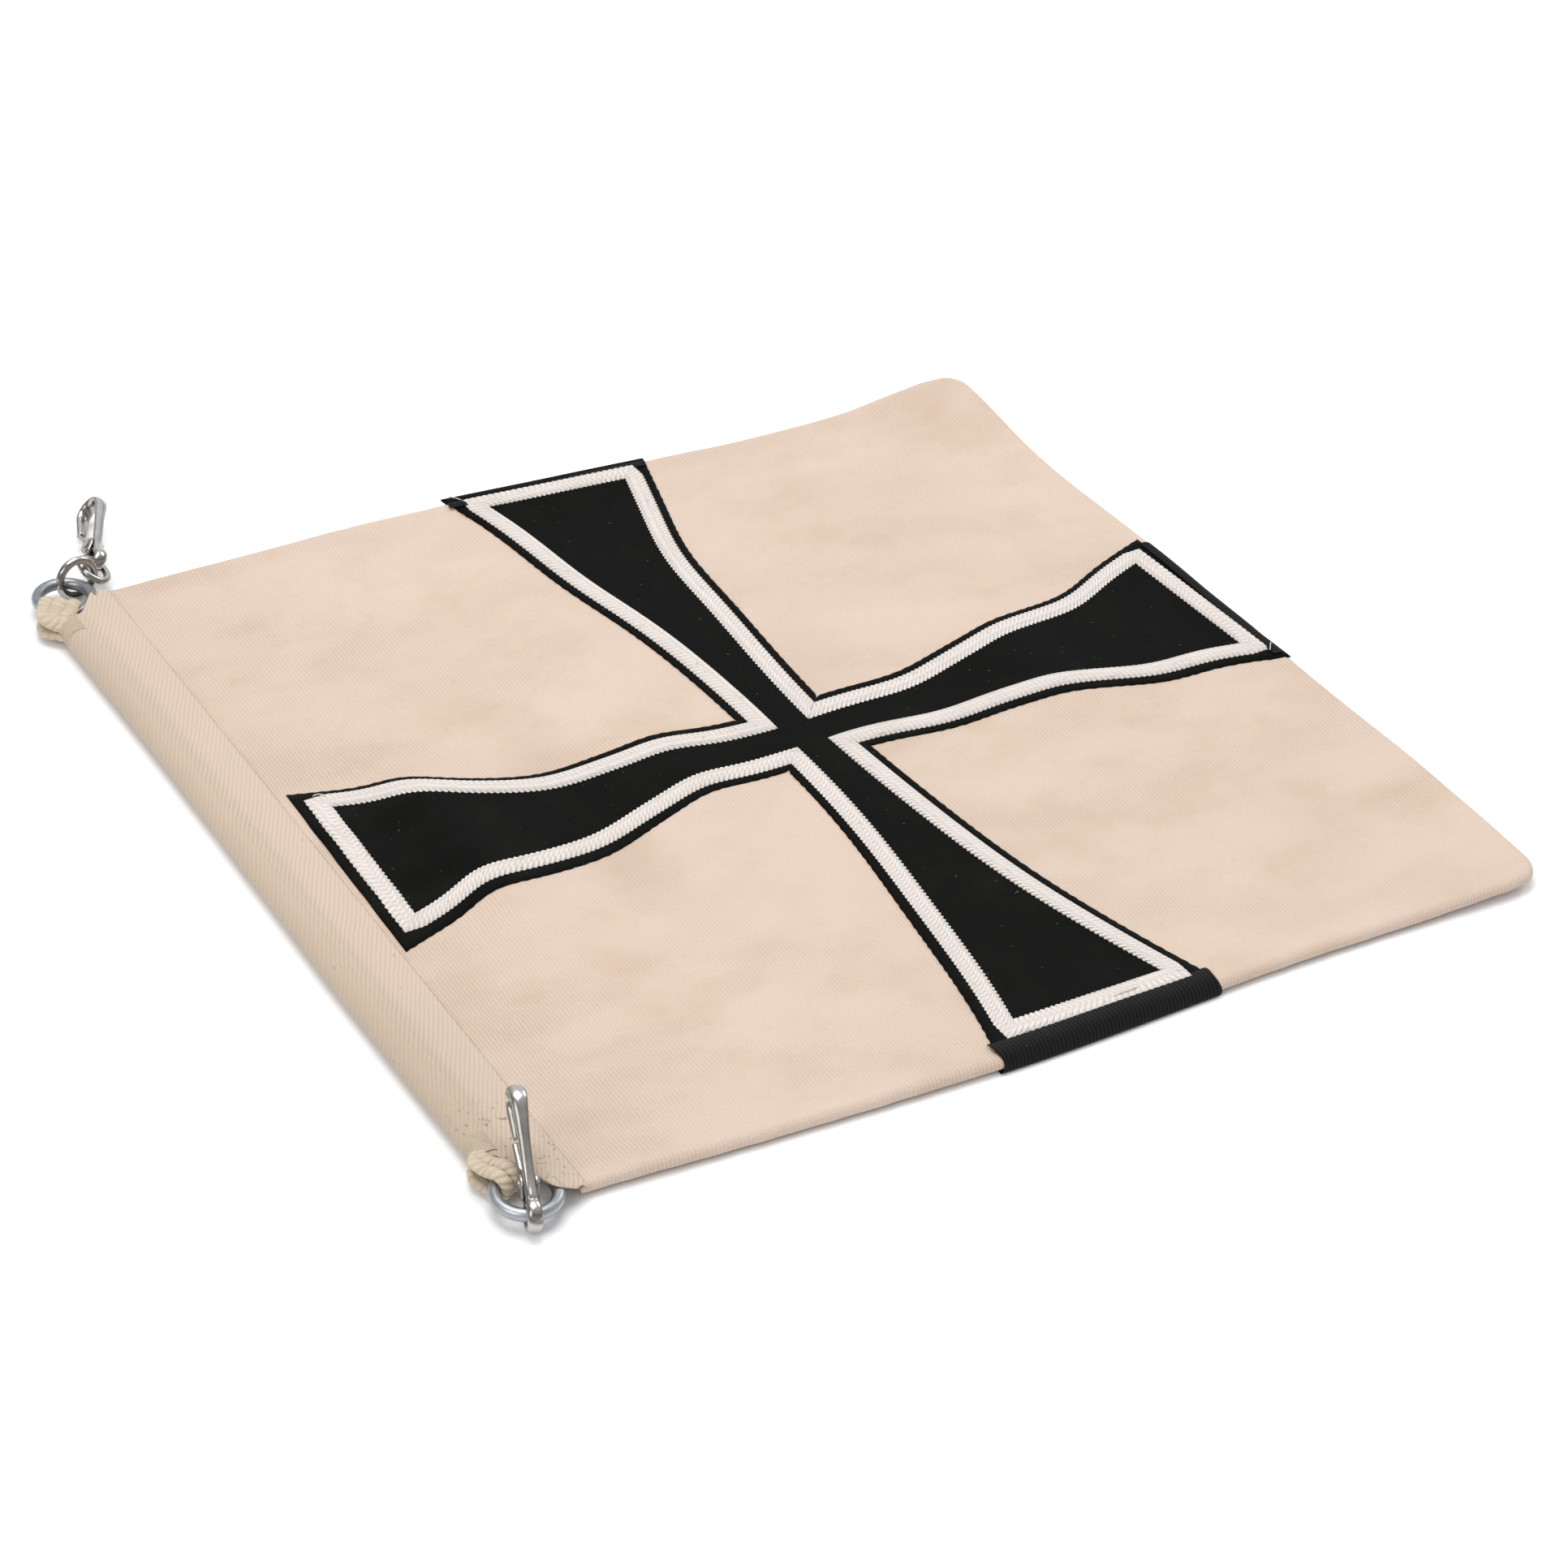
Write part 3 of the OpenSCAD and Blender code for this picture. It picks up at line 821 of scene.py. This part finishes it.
# middle of each hook's eye, then degrees: direction from +Y towards +X, rise and roll
HOOKS = {
    "front": (FRONT_RING - RING_R * heading(17), 17, 36, 90),
    "rear": (SMALL_RING + SMALL_RING_R * heading(23.7), 23.7, 0, 130),
}
FOOT_END, BLADE_START = 11.2, 12.6    # the gate widens from its foot to its blade between these


def on_hook(end, points):
    """Moves points from the hook's own plane, x along it from the eye, to its place."""
    eye, direction, rise, roll = HOOKS[end]
    turned = rotation("Z", 90 - direction) @ rotation("Y", -rise) @ rotation("X", roll)
    return np.asarray(points) @ turned.T + eye


def cheek(side):
    """Rounded ear beside the gate's foot, with a domed outer face."""
    foot = (8, -0.8)
    count = 28
    angle = np.linspace(0, 2 * np.pi, count, endpoint=False)
    rings = []
    for radius, height in ((2.75, 1.62), (2.75, 2.1), (2.5, 2.38), (1.9, 2.46), (0.9, 2.46)):
        reach = 1 + 0.55 * np.clip(np.cos(angle - np.pi * 1.02), 0, 1) ** 2 * (radius > 1.5)
        rings.append(np.stack([foot[0] + radius * reach * np.cos(angle),
                               foot[1] + radius * np.sin(angle),
                               np.full(count, side * height)], -1))
    points = np.vstack(rings)
    faces = grid_faces(len(rings), count, loop_cols=True, flip=side > 0)
    faces += [tuple(range(count)), tuple(range(len(points) - count, len(points)))]
    return points, faces, np.zeros((len(points), 2))


# ---------------------------------------------------------------- operators

class PennantOperator(bpy.types.Operator):
    bl_options = {"REGISTER", "UNDO"}

    def execute(self, context):
        self.build()
        return {"FINISHED"}


class PENNANT_OT_field(PennantOperator):
    """Cream field: two panels turned in at the edges, as one soft closed form"""
    bl_idname = "pennant.field"
    bl_label = "Field"

    def build(self):
        wide, deep = FIELD_WIDE, FIELD_DEEP
        edge = np.array([0, 0.12, 0.4, 0.85, 1.5, 2.3, 3.4, 5.0])
        across = np.concatenate([edge, np.linspace(7.2, 301, 131), (wide - edge)[::-1]])
        along = np.concatenate([edge, np.linspace(7.2, 296.8, 128), (deep - edge)[::-1]])
        u, v = np.meshgrid(np.unique(across) / wide, np.unique(along) / deep, indexing="ij")
        depth = np.minimum(np.minimum((1 - u) * wide, v * deep), (1 - v) * deep)
        depth = np.minimum(depth, u * wide)
        x, y = self.plan(u, v)
        y = y + soft_noise(x, y, 6, 9.0) * 0.25 * np.exp(-depth / 2) * np.sign(y)
        top = cream_top(x, y)
        low = underside(x, y)
        middle = (top + low) / 2
        fold = np.sqrt(1 - (1 - np.clip(depth / 2.1, 0, 1)) ** 2)
        piping = 0.35 * bell(depth, 2.6, 1.8) - 0.35 * bell(depth, 7.5, 2.4)
        piping = np.where(u * wide < 12, 0, piping)
        above = np.stack([x, y, middle + (top + piping - middle) * fold], -1).reshape(-1, 3)
        below = np.stack([x, y, middle + (low - middle) * fold], -1).reshape(-1, 3)
        n, m = x.shape
        faces = grid_faces(n, m) + grid_faces(n, m, start=n * m, flip=True)
        obj = add_mesh("field_cloth", np.vstack([above, below]), faces, "cream_cloth", "field")
        weld(obj)
        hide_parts("field_front_panel", "field_back_panel", "seam_allowance", "interlining")

    def plan(self, u, v):
        """The unit square drawn out to the field's outline, with its two fly corners round."""
        x = START_X + u * FIELD_WIDE
        y = -FIELD_DEEP / 2 + v * FIELD_DEEP
        begin = START_X + FIELD_WIDE - CORNER_R
        for sign in (-1, 1):
            p = np.maximum(x - begin, 0)
            q = np.maximum(sign * y - (FIELD_DEEP / 2 - CORNER_R), 0)
            in_corner = (p > 0) & (q > 0)
            scale = np.maximum(p, q) / np.maximum(np.hypot(p, q), 1e-9)
            x = np.where(in_corner, begin + p * scale, x)
            y = np.where(in_corner, sign * (FIELD_DEEP / 2 - CORNER_R + q * scale), y)
        share = (y + FIELD_DEEP / 2) / FIELD_DEEP
        x = START_X + (x - START_X) / FIELD_WIDE * (fly_edge(y) - START_X)
        return x, front_edge(x) + share * (rear_edge(x) - front_edge(x))


class PENNANT_OT_cross(PennantOperator):
    """Black cross with its white braid, on both faces of the field"""
    bl_idname = "pennant.cross"
    bl_label = "Cross and braid"

    def build(self):
        for name, side, step in (("front", 1, 1.6), ("back", -1, 3.0)):
            cloth = cross_cloth("cross_cloth_" + name, side, step)
            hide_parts("cross_" + name)
            band = braid("braid_band_" + name, side, 0.3 if side > 0 else 0.8)
            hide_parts("braid_" + name)


class PENNANT_OT_wraps(PennantOperator):
    """Black cloth drawn round the edge at the ends of three arms"""
    bl_idname = "pennant.wraps"
    bl_label = "Edge wraps"

    def build(self):
        # depth in from the edge, and height as a share of the field's thickness there
        section = [(9.0, 0.8), (8.0, 1.0), (6.5, 1.08), (4.6, 1.12), (3.0, 1.12), (1.6, 1.08),
                   (0.4, 0.85), (-0.5, 0.5), (-0.7, 0.25), (-0.5, 0.02), (0.3, -0.12),
                   (1.6, -0.2), (4.0, -0.22)]
        pitch = 1.6     # distance between the section's points, for the strip coordinates
        for edge, low, high in (("rear", -40, 29), ("fly", -28, 40.5), ("front", -31, 42)):
            a = np.linspace(low, high, 90)
            rows = []
            for k, (depth, share) in enumerate(section if edge == "front" else section[3:]):
                along = a.copy()
                along[[0, -1]] += 0.5 * np.sin(a[[0, -1]] * 3 + k)
                inner = in_from_edge(edge, along, max(depth, 3.0))
                top = cream_top(*inner) + 0.55
                low_z = np.maximum(underside(*inner) - 0.35, 0.0)
                rows.append(np.stack([*in_from_edge(edge, along, depth),
                                      low_z + (top - low_z) * max(share, 0)], -1))
            across = np.arange(len(rows)) * pitch
            uv = np.stack(np.broadcast_arrays(a[None], across[:, None]), -1)
            obj = add_mesh(edge + "_wrap", np.vstack(rows),
                           grid_faces(len(rows), len(a), flip=edge != "rear"), "wrap_cloth",
                           "field", uv.reshape(-1, 2) * MM)
            mod = obj.modifiers.new("smooth", "SUBSURF")
            mod.levels = mod.render_levels = 1
            apply_modifiers(obj)
            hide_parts(edge + "_edge_wrap")


class PENNANT_OT_sleeve(PennantOperator):
    """Twill sleeve rolled round the hoist rope and sewn to the field"""
    bl_idname = "pennant.sleeve"
    bl_label = "Hoist sleeve"

    def build(self):
        r = sizes().roll_radius / MM
        # profile from the seam's underside, round the roll, to the seam on top
        turn = np.radians(np.linspace(270, 58, 24))
        low = [(-154.5, 0.7), (-155.5, 0.4), (-158, 0.25), (-163, 0.15), (-168, 0.12)]
        roll = [(ROPE_X + r * math.cos(a), ROPE_Z + r * math.sin(a)) for a in turn]
        top = [(-169.6, 7.75), (-168.0, 6.9), (-166.4, 6.0), (-164.6, 5.35), (-162.0, 5.0),
               (-160.0, 4.8), (-158.2, 4.7), (-156.8, 4.8), (-155.7, 4.85), (-155.0, 4.7),
               (-154.6, 4.2), (-154.5, 3.4)]
        px, pz = np.array(low + roll + top).T
        number = np.arange(len(px))
        on_top = number > len(low) + 16
        # the ends are cut back at the rope and reach further beside it
        out = ease(px, -168.5, -158)
        flap = bell(px, -165.3, 4.4) * on_top
        front_leg = np.where(number > len(low), 17.0, 12.5)
        front = -133.0 - front_leg * out - 11.0 * flap - 0.6 * np.sin(px * 1.9)
        rear = 137.5 + 13.6 * out + 3.0 * flap + 0.5 * np.sin(px * 2.3)
        steps = 150
        y = front + np.linspace(0, 1, steps)[:, None] * (rear - front)
        x = np.broadcast_to(px, y.shape)
        z = np.broadcast_to(pz, y.shape)
        wave = 0.35 * soft_noise(x, y, 15, 3.0) + 0.25 * np.sin(y / 6.5 + 0.8 * np.sin(y / 23))
        mid = ease(x, -171, -163) * (1 - ease(x, -160, -155))
        z = z + on_top * wave * (0.25 + 0.75 * mid)
        # both ends gape over the rings
        ends = np.clip(bell(y, -147, 12) + bell(y, 150, 12), 0, 1)
        z = z + on_top * ends * np.maximum(8.0 - z, 0) * bell(x, -164.5, 5.5)
        x = x + np.where(x < -170, 0.5 * np.sin(y / 40) + 0.25 * soft_noise(y, y * 0, 30, 1.0), 0)
        z = np.maximum(z, 0.05)
        pts = np.stack([x, y, z], -1).reshape(-1, 3)
        obj = add_mesh("sleeve_tape", pts, grid_faces(steps, len(px), flip=True), "sleeve_tape",
                       None)
        mod = obj.modifiers.new("cloth", "SOLIDIFY")
        mod.thickness = 0.75 * MM
        mod.offset = 1
        sub = obj.modifiers.new("smooth", "SUBSURF")
        sub.levels = sub.render_levels = 1
        apply_modifiers(obj)
        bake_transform(obj)
        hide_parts("hoist_sleeve")


class PENNANT_OT_rope(PennantOperator):
    """Hoist rope with two strands round the front ring and three round the rear ring"""
    bl_idname = "pennant.rope"
    bl_label = "Hoist rope"

    def build(self):
        y = np.linspace(-135, 140, 60)
        core = np.stack([np.full_like(y, ROPE_X), y, np.full_like(y, ROPE_Z)], -1)
        parts = [sweep(core, [(3.2, 3.2)] * len(y), power=2.0)]
        # each strand of an eye: its place along the ring's wire, and its half width there
        for shift, half in ((-1.9, 2.0), (1.9, 2.0)):
            parts.append(self.strand(FRONT_RING, heading(-26), shift, half))
        for shift, half in ((-3.9, 2.3), (0.0, 2.5), (3.9, 2.3)):
            parts.append(self.strand(REAR_RING, -heading(35), shift, half))
        points, faces, uv = join(parts)
        obj = add_mesh("rope_and_eyes", points, faces, "laid_rope", "hoist", uv)
        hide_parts("hoist_rope")
        for end in ("front", "rear"):
            paint(end + "_whipping", "waxed_thread")

    def strand(self, ring, inward, shift, half):
        """One turn of rope from the sleeve, round the ring's wire and back."""
        tangent = np.array([inward[1], -inward[0], 0])
        eye = ring + RING_R * inward
        loop = [eye + inward * 3.7 * math.cos(p) + np.array([0, 0, 3.3 * math.sin(p)])
                + tangent * shift for p in np.radians(np.linspace(62, 298, 26))]
        neck = eye + inward * 6.5 + tangent * shift * 0.75
        mouth = np.array([ROPE_X + 0.4 * shift, eye[1] + 12.5 * np.sign(inward[1]), ROPE_Z])
        path = resample([mouth + [0, 0, 1.2], neck + [0, 0, 2.7], *loop, neck - [0, 0, 2.4],
                         mouth - [0, 0, 1.2]], 60)
        return sweep(path, [(1.45, half)] * len(path), normal=tuple(tangent), power=2.0,
                     round_steps=16)


class PENNANT_OT_cloths(PennantOperator):
    """Does nothing: the flat sizes of the two cloths, the field and the sleeve tape, are not stated
    """
    bl_idname = "pennant.cloths"
    bl_label = "Cloth sizes"

    def build(self):
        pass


class PENNANT_OT_rings(PennantOperator):
    """Galvanised hoist rings and the plated links of the rear chain"""
    bl_idname = "pennant.rings"
    bl_label = "Rings and links"

    def build(self):
        for node in ("front_ring", "rear_ring"):
            paint(node, "galvanised_steel")
        for node in ("rear_link", "rear_small_ring"):
            paint(node, "plated_steel")


class PENNANT_OT_hooks(PennantOperator):
    """Snap hooks: a forged body with its eye, a sprung gate, rivet and spring"""
    bl_idname = "pennant.hooks"
    bl_label = "Snap hooks"

    def build(self):
        for end in ("front", "rear"):
            self.body(end)
            self.gate(end)
            paint(end + "_hook_rivet", "galvanised_steel")
            paint(end + "_hook_spring", "spring_steel")

    def body(self, end):
        crown_x, crown_y, crown_r, eye_r = 28.4, -1.3, 4.5, 3.5
        crown = [(crown_x + crown_r * math.cos(a), crown_y + crown_r * math.sin(a))
                 for a in np.radians(np.linspace(-90, 90, 17))]
        eye = [(eye_r * math.cos(a), eye_r * math.sin(a))
               for a in np.radians(np.linspace(38, 322, 25))]
        # from the nose, round the crown, down the shank and round the eye
        line = [(20.9, -6.05), (22.6, -5.95), (24.6, -5.85), (26.6, -5.8), *crown, (25, 3.0),
                (20, 2.5), (15, 2.1), (10, 1.75), (6.4, 1.85), (4.1, 2.1), *eye, (3.6, -2.35),
                (5.6, -2.2), (7.2, -1.9)]
        path = resample([(a, b, 0) for a, b in line], 120)
        x = path[:, 0]
        run = np.linspace(0, 1, len(path))
        depth = 1.55 + 0.75 * bell(x, 33, 9) + 0.55 * bell(x, -2, 5) - 0.35 * np.exp(-run / 0.03)
        thick = 1.15 + 0.15 * bell(x, 0, 4) - 0.25 * np.exp(-run / 0.02)
        bar = sweep(path, np.stack([thick, depth], -1), round_steps=24, power=2.15)
        self.piece(end, "hook", "hook_body", *join([bar, cheek(-1), cheek(1)]))

    def gate(self, end):
        path = resample([(8.0, -0.9, 0), (10.2, -1.6, 0), (12.5, -2.6, 0), (15.5, -4.0, 0),
                         (18.2, -5.25, 0), (19.7, -5.85, 0)], 40)
        x = path[:, 0]
        wide = 0.72 + 1.15 * ease(x, FOOT_END, BLADE_START)
        thick = 1.45 - 0.65 * ease(x, 8.5, 13.0)
        points, faces, uv = sweep(path, np.stack([thick, wide], -1), round_steps=20, power=3.0)
        points[:, 2] -= 0.55 * (1 - ease(points[:, 0], FOOT_END, BLADE_START))
        self.piece(end, "gate", "hook_gate", points, faces, uv)

    def piece(self, end, name, node, points, faces, uv):
        obj = add_mesh(f"{end}_{name}", on_hook(end, points), faces, "plated_steel",
                       f"{end}_{name}", uv)
        weld(obj)
        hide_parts(f"{end}_{node}")


class PENNANT_OT_threads(PennantOperator):
    """Loose thread ends on the arms of the cross"""
    bl_idname = "pennant.threads"
    bl_label = "Thread ends"

    def build(self):
        # arm, place out and across on it, and where the thread's end goes
        spots = [("hoist", 147, -33, (3.2, -1.6)), ("rear", 66, -19, (-1.0, -4.0)),
                 ("front", 148, 5, (8.0, 1.2)), ("front", 149, -24, (-3.2, -1.2)),
                 ("rear", 148, 30, (-3.0, 2.2)), ("fly", 148, -33, (2.6, 2.0))]
        parts = []
        for k, (arm, s, t, go) in enumerate(spots):
            start = arm_place(arm, s, t)
            z = float(cream_top(*start)) + 1.2
            path = [(start[0] + go[0] * f, start[1] + go[1] * f + 0.5 * math.sin(3 * f + k),
                     z + 0.5 * math.sin(2.6 * f)) for f in np.linspace(0, 1, 9)]
            path = resample(path, 20)
            parts.append(sweep(path, [(0.16, 0.16)] * 20, power=2.0, round_steps=8))
        points, faces, uv = join(parts)
        obj = add_mesh("thread_ends", points, faces, "white_braid", "field", uv)


class PENNANT_OT_stage(PennantOperator):
    """Pale floor, soft light and the camera"""
    bl_idname = "pennant.stage"
    bl_label = "Stage"

    def build(self):
        wide, drop = 3000, -0.3
        floor = add_mesh("floor", [(-wide, -wide, drop), (wide, -wide, drop), (wide, wide, drop),
                                   (-wide, wide, drop)], [(0, 1, 2, 3)], "studio_floor", None)
        self.lights()
        self.camera()

    def lights(self):
        world = bpy.data.worlds.new("studio")
        world.use_nodes = True
        sky = world.node_tree.nodes["Background"]
        sky.inputs["Color"].default_value = (0.95, 0.97, 1.0, 1)
        sky.inputs["Strength"].default_value = 0.62
        bpy.context.scene.world = world
        for name, place, size, power in (
                ("overhead", (-0.10, 0.25, 1.5), 1.1, 15.0),
                ("left", (-1.3, -0.5, 1.0), 0.8, 7.0),
                ("right", (1.3, 0.3, 0.9), 0.7, 4.5)):
            lamp = bpy.data.lights.new(name, "AREA")
            lamp.size = size
            lamp.energy = power
            obj = bpy.data.objects.new(name, lamp)
            obj.location = place
            obj.rotation_euler = (-Vector(place)).to_track_quat("-Z", "Y").to_euler()
            bpy.context.scene.collection.objects.link(obj)
        bpy.context.scene.view_settings.view_transform = "Standard"

    def camera(self):
        azimuth, elevation, roll = (math.radians(a) for a in (-33.8733, 35.8191, 5.1643))
        looks_at, distance = Vector((-0.019988, -0.022073, 0.0045)), 1.239415
        back = Vector((math.sin(azimuth) * math.cos(elevation),
                       -math.cos(azimuth) * math.cos(elevation), math.sin(elevation)))
        right = Vector((math.cos(azimuth), math.sin(azimuth), 0))
        up = back.cross(right)
        right, up = (right * math.cos(roll) + up * math.sin(roll),
                     up * math.cos(roll) - right * math.sin(roll))
        data = bpy.data.cameras.new("camera")
        data.sensor_width = 36
        data.lens = 98.5676
        data.clip_start = 0.01
        obj = bpy.data.objects.new("camera", data)
        place = Matrix((right, up, back)).transposed().to_4x4()
        place.translation = looks_at + back * distance
        obj.matrix_world = place
        bpy.context.scene.collection.objects.link(obj)
        bpy.context.scene.camera = obj


class PENNANT_PT_panel(bpy.types.Panel):
    """Lists the pennant's pieces, sizes and colours"""
    bl_idname = "PENNANT_PT_panel"
    bl_label = "Roped pennant"
    bl_space_type = "VIEW_3D"
    bl_region_type = "UI"
    bl_category = "Pennant"

    def draw(self, context):
        for group in (context.scene.pennant_sizes, context.scene.pennant_colours):
            column = self.layout.column()
            for key in group.__annotations__:
                column.prop(group, key)
        for operator in OPERATORS:
            self.layout.operator(operator.bl_idname)


OPERATORS = (PENNANT_OT_stage, PENNANT_OT_field, PENNANT_OT_cross, PENNANT_OT_wraps,
             PENNANT_OT_sleeve, PENNANT_OT_rope, PENNANT_OT_rings, PENNANT_OT_hooks,
             PENNANT_OT_threads, PENNANT_OT_cloths)
CLASSES = (PennantSizes, PennantColours, *OPERATORS, PENNANT_PT_panel)


def register():
    for cls in CLASSES:
        bpy.utils.register_class(cls)
    bpy.types.Scene.pennant_sizes = bpy.props.PointerProperty(type=PennantSizes)
    bpy.types.Scene.pennant_colours = bpy.props.PointerProperty(type=PennantColours)


def unregister():
    del bpy.types.Scene.pennant_sizes
    del bpy.types.Scene.pennant_colours
    for cls in reversed(CLASSES):
        bpy.utils.unregister_class(cls)


def main():
    register()
    for operator in OPERATORS:
        group, name = operator.bl_idname.split(".")
        getattr(getattr(bpy.ops, group), name)()


if __name__ == "__main__":
    main()
